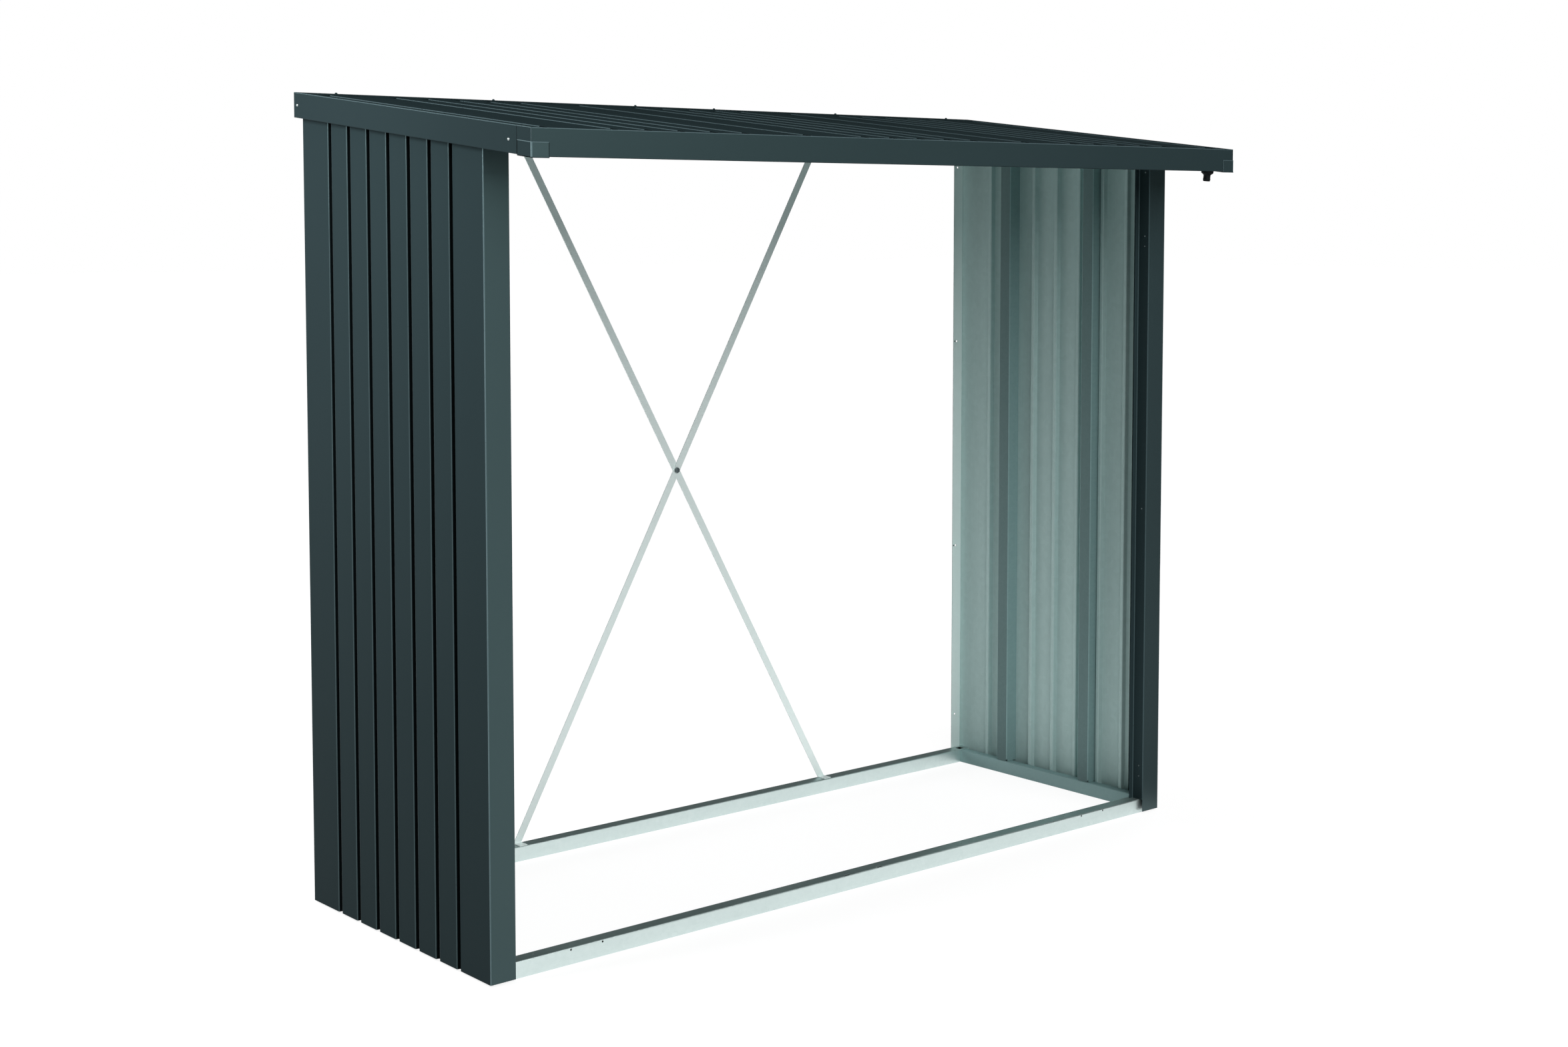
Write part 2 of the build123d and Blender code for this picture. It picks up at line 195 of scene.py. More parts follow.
def noise(tree, size, detail, place):
    """Noise whose marks are about this size, in metres."""
    made = add(tree, "ShaderNodeTexNoise", {"Scale": 1 / size, "Detail": detail}, {"Vector": place})
    return made.outputs["Fac"]


def blend(tree, dark, light, factor):
    """A colour between dark and light."""
    tones = {"A": linear(dark), "B": linear(light)}
    return add(tree, "ShaderNodeMix", tones, {"Factor": factor}, data_type="RGBA").outputs["Result"]


def ramp(tree, value, start, end, low, high):
    """Map the values from start to end onto those from low to high."""
    ranges = {"From Min": start, "From Max": end, "To Min": low, "To Max": high}
    return add(tree, "ShaderNodeMapRange", ranges, {"Value": value}).outputs["Result"]


def bump(tree, strength, depth, height):
    """Normals of a skin that the height raises by up to this depth."""
    amounts = {"Strength": strength, "Distance": depth}
    return add(tree, "ShaderNodeBump", amounts, {"Height": height}).outputs["Normal"]


def stoved_coating(name, light, dark, specular, rough):
    """Anthracite coating stoved on rolled sheet: satin, faintly pebbled, with hardly any drift."""
    drift_size = 0.35
    pebble_size = 0.004  # really about 1 mm, but drawn larger so that it shows at all
    pebble_depth = 0.0004
    pebble_strength = 0.06
    rough_drift = 0.03
    material, tree, output = start_material(name)
    place = add(tree, "ShaderNodeTexCoord").outputs["Object"]
    pebble = noise(tree, pebble_size, 2, place)
    surface = add(
        tree,
        "ShaderNodeBsdfPrincipled",
        {"IOR": 1.5, "Specular IOR Level": specular, "Specular Tint": linear("#ceffff")},
        {
            "Base Color": blend(tree, dark, light, noise(tree, drift_size, 3, place)),
            "Roughness": ramp(tree, pebble, 0.3, 0.7, rough - rough_drift, rough + rough_drift),
            "Normal": bump(tree, pebble_strength, pebble_depth, pebble),
        },
    )
    tree.links.new(surface.outputs["BSDF"], output.inputs["Surface"])
    return material


def galvanised(name, light, dark, metallic, rough, spangle, stretch):
    """Dulled hot-dip zinc: pale grey with soft crystal flakes and faint streaks along the rolling."""
    streak_size = 0.003
    streak_share = 0.6
    rough_drift = 0.05
    material, tree, output = start_material(name)
    place = add(tree, "ShaderNodeTexCoord").outputs["Object"]
    flakes = add(tree, "ShaderNodeTexVoronoi", {"Scale": 1 / spangle}, {"Vector": place})
    flake_tone = add(tree, "ShaderNodeSeparateColor", {}, {"Color": flakes.outputs["Color"]})
    rolled = add(tree, "ShaderNodeMapping", {"Scale": stretch}, {"Vector": place})
    streaks = noise(tree, streak_size, 3, rolled.outputs["Vector"])
    tones = {"A": flake_tone.outputs["Red"], "B": streaks}
    tone = add(tree, "ShaderNodeMix", {"Factor": streak_share}, tones)
    surface = add(
        tree,
        "ShaderNodeBsdfPrincipled",
        {"Metallic": metallic, "Specular IOR Level": 0.2},
        {
            "Base Color": blend(tree, dark, light, tone.outputs["Result"]),
            "Roughness": ramp(
                tree, flake_tone.outputs["Green"], 0, 1, rough - rough_drift, rough + rough_drift
            ),
        },
    )
    tree.links.new(surface.outputs["BSDF"], output.inputs["Surface"])
    return material


def plated(name, light, dark):
    """Zinc-plated steel of screws, rivets and the bolt: grey, slightly mottled."""
    mottle_size = 0.002
    material, tree, output = start_material(name)
    place = add(tree, "ShaderNodeTexCoord").outputs["Object"]
    surface = add(
        tree,
        "ShaderNodeBsdfPrincipled",
        {"Metallic": 0.9, "Roughness": 0.38},
        {"Base Color": blend(tree, dark, light, noise(tree, mottle_size, 2, place))},
    )
    tree.links.new(surface.outputs["BSDF"], output.inputs["Surface"])
    return material


def moulded_plastic(name, light, dark):
    """Black polypropylene from a spark-eroded mould: deep grey, matt, with a fine grain."""
    grain_size = 0.0008
    grain_depth = 0.0002
    grain_strength = 0.2
    material, tree, output = start_material(name)
    place = add(tree, "ShaderNodeTexCoord").outputs["Object"]
    grain = noise(tree, grain_size, 2, place)
    surface = add(
        tree,
        "ShaderNodeBsdfPrincipled",
        {"IOR": 1.49, "Roughness": 0.5, "Specular IOR Level": 0.12},
        {
            "Base Color": blend(tree, dark, light, grain),
            "Normal": bump(tree, grain_strength, grain_depth, grain),
        },
    )
    tree.links.new(surface.outputs["BSDF"], output.inputs["Surface"])
    return material


wall_coating = stoved_coating("stoved_coating_wall", "#2c3a3d", "#29373a", 0.02, 0.45)
# The posts' and the gutter's front faces shine a little
front_coating = stoved_coating("stoved_coating_front", "#2d3b3e", "#2a383b", 0.7, 0.35)
gutter_coating = stoved_coating("stoved_coating_gutter", "#2b393c", "#283639", 0.45, 0.35)
roof_coating = stoved_coating("stoved_coating_roof", "#273538", "#243134", 0.02, 0.5)
edge_coating = stoved_coating("stoved_coating_roof_edge", "#2c3a3d", "#293639", 0.02, 0.45)
# Painted shade: a near-black coating where the grooves and some edges lie in shade
painted_shade_coating = stoved_coating("stoved_coating_painted_shade", "#12181a", "#0f1416", 0.02, 0.6)
# Painted highlight: a lighter, shinier coating on the folds' roundings, and a fainter painted highlight
# on the walls' folds and the posts' inner folds
painted_highlight_coating = stoved_coating("stoved_coating_painted_highlight", "#5d6f74", "#586a6f", 0.6, 0.3)
painted_faint_highlight_coating = stoved_coating("stoved_coating_painted_faint_highlight", "#3f4e52", "#3b4a4e", 0.4, 0.3)
sheet_zinc = galvanised("galvanised_sheet", "#b2cbc9", "#a7c0be", 0.1, 0.5, 0.014, (1, 1, 0.02))
frame_zinc = galvanised("galvanised_frame", "#e0eeec", "#d8e7e5", 0.9, 0.4, 0.008, (0.02, 1, 1))
# Painted shade: the tops of the front and rear rails are a darker copy of the frame's zinc
painted_shade_top_zinc = galvanised("galvanised_frame_painted_shade_top", "#bccecc", "#b3c5c3", 0.9, 0.4, 0.008, (0.02, 1, 1))
side_zinc = galvanised("galvanised_side_frame", "#89a7a7", "#809e9e", 0.1, 0.5, 0.008, (0.02, 1, 1))
# Painted light and shade: the side rails' faces to the bay are painted lighter, and the stiffeners'
# faces to the bay darker
painted_light_face_zinc = galvanised("galvanised_painted_light_face", "#9ab9b9", "#91b1b1", 0.1, 0.5, 0.008, (1, 0.02, 1))
painted_shade_face_zinc = galvanised("galvanised_painted_shade_face", "#647c7c", "#5c7474", 0.1, 0.5, 0.008, (1, 1, 0.02))
# Painted shade: the insides of the channels are nearly black, so that their holes look black
painted_shade_inside_zinc = galvanised("galvanised_painted_shade_inside", "#1c2425", "#161d1e", 0.1, 0.6, 0.008, (1, 1, 1))
strap_zinc = galvanised("galvanised_strap", "#f0fbf9", "#ecf7f5", 0.3, 0.5, 0.006, (1, 1, 0.05))
bright_zinc = plated("zinc_plated", "#bcc6c6", "#a3aeae")
# Painted shade: a darker copy of the plating for the bolt's head and nut and the rivets
painted_shade_plated_zinc = plated("zinc_plated_painted_shade", "#697476", "#525c5e")
black_plastic = moulded_plastic("moulded_black_plastic", "#0e1214", "#080b0d")


# Ways of making a piece


def pick(piece, kind, test):
    """In edit mode, select the vertices, edges or faces that pass the test, and nothing else."""
    bpy.ops.mesh.select_mode(type=kind)
    bpy.ops.mesh.select_all(action="DESELECT")
    mesh = bmesh.from_edit_mesh(piece.data)
    for part in {"VERT": mesh.verts, "EDGE": mesh.edges, "FACE": mesh.faces}[kind]:
        if test(part):
            part.select_set(True)
    mesh.select_flush_mode()
    bmesh.update_edit_mesh(piece.data)


def fold_sheet(name, start, end, path, outside, thickness, radius, face, back=None, fold=None, trims=()):
    """A folded sheet: one edge from start to end, pulled through the path's folds and thickened.

    The path holds places of the edge's start, radius is how far each fold's rounding reaches, and
    outside is the way that the first strip faces. Each trim is a point and a direction: what lies beyond
    that plane is cut off. Back and fold are finishes that differ from the face's.
    """
    run = end - start
    turn = along_x.rotation_difference(run)
    aside = turn @ along_y
    middle = (start + end) / 2
    bpy.ops.object.select_all(action="DESELECT")
    bpy.ops.mesh.primitive_plane_add(
        size=run.length, location=middle + aside * run.length / 2, rotation=turn.to_euler()
    )
    piece = bpy.context.object
    piece.name = piece.data.name = name
    for material in (face, back or face, fold or face, back or face):
        piece.data.materials.append(material)
    bpy.ops.object.transform_apply()
    bpy.ops.object.mode_set(mode="EDIT")
    pick(piece, "VERT", lambda corner: (corner.co - middle).dot(aside) > run.length / 2)
    bpy.ops.mesh.delete(type="VERT")
    bpy.ops.mesh.select_all(action="SELECT")
    for before, after in zip(path, path[1:]):
        bpy.ops.mesh.extrude_region_move(TRANSFORM_OT_translate={"value": after - before})
    for point, beyond in trims:
        bpy.ops.mesh.select_all(action="SELECT")
        bpy.ops.mesh.bisect(plane_co=point, plane_no=beyond, clear_outer=True)
    bpy.ops.mesh.select_all(action="SELECT")
    bpy.ops.mesh.normals_make_consistent(inside=False)
    first = path[0] + (path[1] - path[0]) / 2 + run / 2
    strips = bmesh.from_edit_mesh(piece.data).faces
    nearest = min(strips, key=lambda strip: (strip.calc_center_median() - first).length)
    if nearest.normal.dot(outside) < 0:
        bpy.ops.mesh.flip_normals()
    pick(piece, "EDGE", lambda fold: len(fold.link_faces) == 2)
    bpy.ops.mesh.bevel(
        offset=radius, offset_type="OFFSET", segments=fold_segments, affect="EDGES", material=2
    )
    bpy.ops.object.mode_set(mode="OBJECT")
    wall = piece.modifiers.new("thickness", "SOLIDIFY")
    wall.thickness = thickness
    wall.offset = -1
    wall.use_even_offset = True
    wall.material_offset = 1
    bpy.ops.object.modifier_apply(modifier=wall.name)
    return piece


# Cosines between a face's normal and the ways that it is held against
square_on = 0.99  # from here on the face counts as facing that way
slanting = 0.98  # up to here it counts as slanting, as the rounding of a fold does
groove_turn = 0.1  # from here on a wall's groove face counts as turned outward
panel_groove_turn = 0.05  # the same for a roof panel
underside_turn = 0.2  # from here on the face counts as looking down


def facing(way, behind=None):
    """A test for the faces that face this way and, where a y is given, lie behind it."""
    return lambda strip: strip.normal.dot(way) > square_on and (
        behind is None or strip.calc_center_median().y > behind
    )


def looking_down(strip):
    """Whether a face belongs to an underside."""
    return strip.normal.z < -underside_turn


def finish_faces(piece, material, test):
    """Give the faces that pass the test a finish of their own."""
    piece.data.materials.append(material)
    piece.active_material_index = len(piece.data.materials) - 1
    bpy.ops.object.mode_set(mode="EDIT")
    pick(piece, "FACE", test)
    bpy.ops.object.material_slot_assign()
    bpy.ops.object.mode_set(mode="OBJECT")


def painted_highlight_rim(piece, width, rim, face, test):
    """Finish the faces that pass the test, with a rim of this width along their edges; the rim is a
    painted highlight.
    """
    finish_faces(piece, rim, test)
    piece.data.materials.append(face)
    piece.active_material_index = len(piece.data.materials) - 1
    bpy.ops.object.mode_set(mode="EDIT")
    pick(piece, "FACE", test)
    bpy.ops.mesh.inset(thickness=width, depth=0, use_individual=True)
    bpy.ops.object.material_slot_assign()
    bpy.ops.object.mode_set(mode="OBJECT")


def turned(name, rings, place, axis, material, corners=32):
    """A turned or hexagonal piece: a circle pulled and scaled through rings of radius and height."""
    (radius, height), *others = rings
    bpy.ops.object.select_all(action="DESELECT")
    bpy.ops.mesh.primitive_circle_add(vertices=corners, radius=radius, location=(0, 0, height))
    piece = bpy.context.object
    piece.name = piece.data.name = name
    piece.data.materials.append(material)
    bpy.ops.object.transform_apply()
    bpy.ops.object.mode_set(mode="EDIT")
    bpy.ops.mesh.select_all(action="SELECT")
    for next_radius, next_height in others:
        bpy.ops.mesh.extrude_region_move(TRANSFORM_OT_translate={"value": (0, 0, next_height - height)})
        growth = next_radius / radius
        bpy.ops.transform.resize(value=(growth, growth, 1), center_override=(0, 0, next_height))
        radius, height = next_radius, next_height
    bpy.ops.mesh.select_all(action="SELECT")
    bpy.ops.mesh.remove_doubles(threshold=weld)
    bpy.ops.mesh.normals_make_consistent(inside=False)
    bpy.ops.object.mode_set(mode="OBJECT")
    piece.rotation_euler = up.rotation_difference(axis).to_euler()
    piece.location = place
    bpy.ops.object.transform_apply()
    return piece


def cut(piece, cutter):
    """Take the cutter's shape out of the piece and throw the cutter away."""
    hole = piece.modifiers.new("cut", "BOOLEAN")
    hole.operation = "DIFFERENCE"
    hole.solver = "EXACT"
    hole.object = cutter
    bpy.context.view_layer.objects.active = piece
    bpy.ops.object.modifier_apply(modifier=hole.name)
    bpy.data.objects.remove(cutter)


def drill(piece, radius, axis, places, depth=past):
    """Round holes in the piece at these places, which are the middles of their depth."""
    turn = up.rotation_difference(axis).to_euler()
    for place in places:
        bpy.ops.mesh.primitive_cylinder_add(
            vertices=round_corners, radius=radius, depth=depth, location=place, rotation=turn
        )
        cut(piece, bpy.context.object)


def punch(piece, low, high):
    """A square-cornered cut between these two corners."""
    bpy.ops.mesh.primitive_cube_add(size=1, location=(low + high) / 2)
    bpy.context.object.scale = high - low
    bpy.ops.object.transform_apply()
    cut(piece, bpy.context.object)


def joined(piece, *others):
    """Make the others part of the piece."""
    bpy.ops.object.select_all(action="DESELECT")
    for other in others:
        other.select_set(True)
    piece.select_set(True)
    bpy.context.view_layer.objects.active = piece
    bpy.ops.object.join()
    return piece


def place_piece(piece, slot, *nodes):
    """Shade the piece, let it ride on the store and stand for these solids."""
    bpy.ops.object.select_all(action="DESELECT")
    piece.select_set(True)
    bpy.context.view_layer.objects.active = piece
    bpy.ops.object.shade_smooth_by_angle(angle=smooth_angle)
    even = piece.modifiers.new("even", "WEIGHTED_NORMAL")
    even.keep_sharp = True
    bpy.ops.object.modifier_apply(modifier=even.name)
    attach(piece, "root")
    if nodes:
        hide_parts(*nodes)


# Base frame: channels that are open below


def channel(name, start, run, across, height, finish):
    """A channel with its top at this height above start, and its other side across from there."""
    path = [start, start + up * height, start + up * height + across, start + across]
    end = start + run
    # The channel's inside carries the painted shade
    return fold_sheet(
        name, start, end, path, -across, frame_sheet, frame_fold, finish, painted_shade_inside_zinc, finish
    )


def clear_wall_foot(rail, y_low, y_high):
    """Notch the lower corners of a rail's ends, so that nothing shows under the walls."""
    for _, sign in sides:
        x_ends = sorted((sign * (half_span + past), sign * (half_span - rail_notch)))
        punch(
            rail,
            Vector((x_ends[0], y_low - past, -past)),
            Vector((x_ends[1], y_high + past, wall_foot + sheet)),
        )


rail_start = Vector((-x_wall_inside, y_front_rail, 0))
rail_run = along_x * 2 * x_wall_inside
rail = channel("front_rail", rail_start, rail_run, along_y * rail_depth, rail_height, frame_zinc)
front_rail_hole_shares = (-0.882, 0.3225, 0.6395, 0.676, 0.8834)  # of half the wall span
y_top_hole = y_front_rail + rail_depth / 2
top_holes = [(share * half_span, y_top_hole, rail_height) for share in front_rail_hole_shares]
drill(rail, rail_hole_radius, up, top_holes)
face_hole_insets = (0.222, 0.310)  # from the walls' outer faces
face_hole_drop = 0.0046  # below the rail's top
face_hole_depth = 0.006
z_face_hole = rail_height - face_hole_drop
x_face_holes = sorted(sign * (half_span - inset) for _, sign in sides for inset in face_hole_insets)
face_holes = [(x, y_front_rail, z_face_hole) for x in x_face_holes]
drill(rail, rail_hole_radius, -along_y, face_holes, face_hole_depth)
slot_place = 0.055
slot_half = 0.01025
slot_width = 0.0075
y_slot = y_front_rail + frame_sheet
for _, sign in sides:
    x = sign * slot_place
    punch(
        rail,
        Vector((x - slot_half, y_slot, rail_height - past / 2)),
        Vector((x + slot_half, y_slot + slot_width, rail_height + past / 2)),
    )
clear_wall_foot(rail, y_front_rail, y_front_rail + rail_depth)
# Painted shade on the rail's top
finish_faces(rail, painted_shade_top_zinc, facing(up))
place_piece(rail, "zinc_frame", "base_front_rail")

rail_start = Vector((-x_wall_inside, y_rear_rail - rail_depth, 0))
rail = channel("rear_rail", rail_start, rail_run, along_y * rail_depth, rail_height, frame_zinc)
corner_half = 0.011
corner_inset = 0.028
screw_near = 0.034
screw_far = 0.0545
for _, sign in sides:
    middle = Vector((sign * (half_span - corner_inset), y_wall_rear - corner_inset, rail_height))
    reach = Vector((corner_half, corner_half, past / 2))
    punch(rail, middle - reach, middle + reach)
y_top_hole = y_wall_rear - screw_near
top_holes = [(sign * (half_span - screw_far), y_top_hole, rail_height) for _, sign in sides]
drill(rail, rail_hole_radius, up, top_holes)
clear_wall_foot(rail, y_rear_rail - rail_depth, y_rear_rail)
# Painted shade on the rail's top
finish_faces(rail, painted_shade_top_zinc, facing(up))
place_piece(rail, "zinc_frame", "base_rear_rail")

y_side_rail_front = y_front_rail + rail_depth + gap
y_side_rail_rear = y_rear_rail - rail_depth - gap
side_rail_run = along_y * (y_side_rail_rear - y_side_rail_front)
side_rail_hole_shares = (0.17, 0.8515)  # of the wall's depth, from its front
y_side_holes = [y_wall_front + share * (y_wall_rear - y_wall_front) for share in side_rail_hole_shares]
y_side_holes.append(y_wall_rear - screw_far)
for side, sign in sides:
    rail_start = Vector((sign * x_side_rail_inner, y_side_rail_front, 0))
    across = along_x * sign * side_rail_depth
    rail = channel(f"{side}_rail", rail_start, side_rail_run, across, rail_height, side_zinc)
    x_hole = sign * (half_span - screw_near)
    drill(rail, rail_hole_radius, up, [(x_hole, y, rail_height) for y in y_side_holes])
    # Painted light on the rail's face to the bay
    finish_faces(rail, painted_light_face_zinc, facing(-along_x * sign))
    place_piece(rail, "zinc_frame", f"base_{side}_rail")

# Side walls: grooved sheets, coated outside, bare zinc inside, with a rear flange
under_roof = (Vector((0, y_gutter, roof_z(y_gutter, support_drop))), off_roof)
x_in_groove = half_span - 2 * sheet
y_on_flange = y_wall_rear - 2 * sheet
for side, sign in sides:
    corners = []
    for step in groove_steps:
        corners += groove(groove_y(step), half_span)
    y_tab, _ = corners[0]
    corners[0] = (y_tab, x_wall_inside)
    corners = [(y_tab - joint_tab, x_wall_inside)] + corners
    corners += [(y_wall_rear, half_span), (y_wall_rear, half_span - rear_flange)]
    path = [Vector((sign * x, y, wall_foot)) for y, x in corners]
    wall = fold_sheet(
        f"{side}_wall",
        path[0],
        path[0] + up * ridge,
        path,
        along_x * sign,
        sheet,
        sheet_fold,
        wall_coating,
        sheet_zinc,
        painted_faint_highlight_coating,
        [under_roof],
    )
    # Painted shade: the groove faces turned outward take the near-black coating
    finish_faces(
        wall,
        painted_shade_coating,
        lambda strip: sign * strip.normal.x > groove_turn
        and sign * strip.calc_center_median().x < x_in_groove,
    )
    # Painted light: the rear flange's front face takes the brighter strap zinc instead of the sheet's
    # own
    finish_faces(wall, strap_zinc, facing(-along_y, y_on_flange))
    x_hole = sign * (half_span - flange_hole_inset)
    flange_holes = [(x_hole, y_wall_rear, share * eaves) for share in flange_hole_shares]
    drill(wall, flange_hole_radius, along_y, flange_holes)
    place_piece(wall, "painted_wall", f"{side}_wall_sheet")

# Front corner posts: side strip, front face, return and lip; the last two stop above the front rail
y_strip = groove_y(groove_steps[0]) - groove_mouth / 2
for side, sign in sides:
    corners = [
        (half_span, y_strip),
        (half_span, y_wall_front),
        (x_return, y_wall_front),
        (x_return, y_return),
        (x_return - post_lip, y_return),
    ]
    path = [Vector((sign * x, y, wall_foot)) for x, y in corners]
    post = fold_sheet(
        f"{side}_post",
        path[0],
        path[0] + up * ridge,
        path,
        along_x * sign,
        post_sheet,
        post_fold,
        wall_coating,
        fold=painted_highlight_coating,
        trims=[under_roof],
    )
    finish_faces(post, front_coating, facing(-along_y))
    x_inner_fold = x_return + 2 * post_fold
    # A fainter painted highlight on the post's inner folds
    finish_faces(
        post,
        painted_faint_highlight_coating,
        lambda strip: sign * strip.calc_center_median().x < x_inner_fold
        and max(abs(part) for part in strip.normal) < slanting,
    )
    x_cut = sorted((sign * (x_return + post_sheet + gap), sign * (x_return - post_lip - past)))
    punch(
        post,
        Vector((x_cut[0], y_wall_front + post_sheet, -past)),
        Vector((x_cut[1], y_return + past, rail_top)),
    )
    place_piece(post, "painted_post", f"{side}_front_post")

# Wall stiffeners: upright channels on the side rails, open towards the wall
foot_relief = 0.005  # how far the folds' ends are cut back at the foot
x_stiffener = half_span - sheet - gap
y_behind_groove = groove_y(-2) + groove_mouth / 2 + sheet + gap
stiffener_lows = (("front", y_behind_groove), ("rear", groove_y(2) - stiffener_width / 2))
for side, sign in sides:
    for place, y_low in stiffener_lows:
        corners = [
            (x_stiffener, y_low),
            (x_side_rail_inner, y_low),
            (x_side_rail_inner, y_low + stiffener_width),
            (x_stiffener, y_low + stiffener_width),
        ]
        path = [Vector((sign * x, y, rail_top)) for x, y in corners]
        stiffener = fold_sheet(
            f"{side}_wall_stiffener_{place}",
            path[0],
            path[0] + up * ridge,
            path,
            -along_y,
            frame_sheet,
            frame_fold,
            side_zinc,
            # The stiffener's inside carries the painted shade
            painted_shade_inside_zinc,
            side_zinc,
            [under_roof],
        )
        # Painted shade on the stiffener's face to the bay
        finish_faces(stiffener, painted_shade_face_zinc, facing(-along_x * sign))
        for y_fold in (y_low, y_low + stiffener_width):
            fold_foot = Vector((sign * x_side_rail_inner, y_fold, rail_top))
            reach = Vector((foot_relief, foot_relief, foot_relief))
            punch(stiffener, fold_foot - reach, fold_foot + reach)
        place_piece(stiffener, "zinc_frame", f"{side}_wall_{place}_stiffener")

# Headers: channels under the roof's grooves
y_strap = y_rear_rail - 3 * strap_sheet - gap
header_foot_lift = 0.006  # keeps the front header's foot out of sight behind the gutter
header_spans = (
    (
        "header_front",
        "front_header",
        y_wall_front + post_sheet + gap,
        y_return - gap,
        x_return - gap,
        header_height - header_foot_lift,
    ),
    (
        "header_rear",
        "rear_header",
        y_strap - gap - header_depth,
        y_strap - gap,
        x_wall_inside,
        header_height,
    ),
)
for name, node, y_low, y_high, half_length, fall in header_spans:
    z_low = roof_z(y_low, support_drop)
    corners = [
        (y_low, z_low - fall),
        (y_low, z_low),
        (y_high, roof_z(y_high, support_drop)),
        (y_high, z_low - fall),
    ]
    path = [Vector((-half_length, y, z)) for y, z in corners]
    header = fold_sheet(
        name,
        path[0],
        path[0] + along_x * 2 * half_length,
        path,
        -along_y,
        frame_sheet,
        frame_fold,
        frame_zinc,
    )
    place_piece(header, "zinc_frame", node)

# Roof panels: grooved sheets from the gutter to the rear trim
y_panel_front = y_gutter + panel_inset
groove_shade = 0.03  # how far the painted shade reaches into the grooves from their front ends
y_panel_rear = y_roof_rear - sheet - gap - support_drop * slope_sin
panel_end = Vector((0, y_panel_rear, roof_z(y_panel_rear, 0)))
panel_run = up_slope * (y_panel_rear - y_panel_front) / slope_cos
panel_names = ("roof_panel_left", "roof_panel_middle", "roof_panel_right")
x_panel_edge = half_roof - sheet - gap
for node, middle in zip(panel_names, panel_middles):
    left = groove((middle - panel_joint) * roof_pitch, panel_face)
    right = groove((middle + panel_joint) * roof_pitch, panel_face)
    floor_level = panel_face - groove_depth
    if middle == panel_middles[0]:
        corners = [(-x_panel_edge, panel_face)] + left
    else:
        corners = [((middle - panel_joint) * roof_pitch + gap / 2, floor_level)] + left[2:]
    for step in panel_grooves:
        corners += groove((middle + step) * roof_pitch, panel_face)
    if middle == panel_middles[-1]:
        corners += right + [(x_panel_edge, panel_face)]
    else:
        corners += right[:2] + [((middle + panel_joint) * roof_pitch - gap / 2, floor_level)]
    path = [panel_end - panel_run + along_x * x + off_roof * level for x, level in corners]
    panel = fold_sheet(
        f"{node}_sheet",
        path[0],
        path[0] + panel_run,
        path,
        off_roof,
        sheet,
        sheet_fold,
        roof_coating,
        side_zinc,
        painted_highlight_coating,
    )
    shade_end = panel_end - panel_run + up_slope * groove_shade
    bpy.ops.object.mode_set(mode="EDIT")
    bpy.ops.mesh.select_all(action="SELECT")
    bpy.ops.mesh.bisect(plane_co=shade_end, plane_no=up_slope)
    bpy.ops.object.mode_set(mode="OBJECT")
    # Painted shade: the groove faces near the panel's front end take the near-black coating
    finish_faces(
        panel,
        painted_shade_coating,
        lambda strip: (strip.calc_center_median() - shade_end).dot(up_slope) < 0
        and panel_groove_turn < strip.normal.dot(off_roof) < slanting,
    )
    place_piece(panel, "painted_roof", node)

# Fascias: side edges of the roof, with a lip over the panel, one under it and a closed rear end
fascia_drop = fascia_height * slope_cos
y_fascia = y_gutter_rear + gap
fascia_start = Vector((0, y_fascia - past, roof_z(y_fascia - past, 0)))
fascia_run = up_slope * (y_roof_rear - y_fascia + 2 * past) / slope_cos
fascia_trims = [
    (Vector((0, y_fascia, 0)), -along_y),
    (Vector((0, y_roof_rear, 0)), along_y),
]
for side, sign in sides:
    corners = [
        (half_roof - fascia_lip, 0),
        (half_roof, 0),
        (half_roof, -fascia_drop),
        (half_span + gap, -fascia_drop),
    ]
    path = [fascia_start + along_x * sign * x + off_roof * level for x, level in corners]
    fascia = fold_sheet(
        f"{side}_fascia_strip",
        path[0],
        path[0] + fascia_run,
        path,
        off_roof,
        sheet,
        sheet_fold,
        edge_coating,
        fold=painted_highlight_coating,
        trims=fascia_trims,
    )
    finish_faces(fascia, edge_coating, looking_down)
    low = Vector((sign * half_roof, y_roof_rear, roof_z(y_roof_rear, fascia_drop)))
    high = Vector((sign * half_roof, y_roof_rear, roof_z(y_roof_rear, sheet)))
    end_plate = fold_sheet(
        f"{side}_fascia_end",
        low,
        high,
        [low, low - along_x * sign * fascia_lip],
        along_y,
        sheet,
        sheet_fold,
        edge_coating,
    )
    place_piece(joined(fascia, end_plate), "painted_roof_edge", f"{side}_fascia")

# Rear trim: an angle over the panels' rear ends
trim_drop = fascia_drop - sheet - gap
half_trim = half_roof - fascia_lip - gap
corners = [
    (y_roof_rear - trim_width, roof_z(y_roof_rear - trim_width, 0)),
    (y_roof_rear, roof_z(y_roof_rear, 0)),
    (y_roof_rear, roof_z(y_roof_rear, trim_drop)),
]
path = [Vector((-half_trim, y, z)) for y, z in corners]
trim = fold_sheet(
    "rear_trim",
    path[0],
    path[0] + along_x * 2 * half_trim,
    path,
    off_roof,
    sheet,
    sheet_fold,
    roof_coating,
    fold=painted_highlight_coating,
)
place_piece(trim, "painted_roof_edge", "rear_roof_trim")

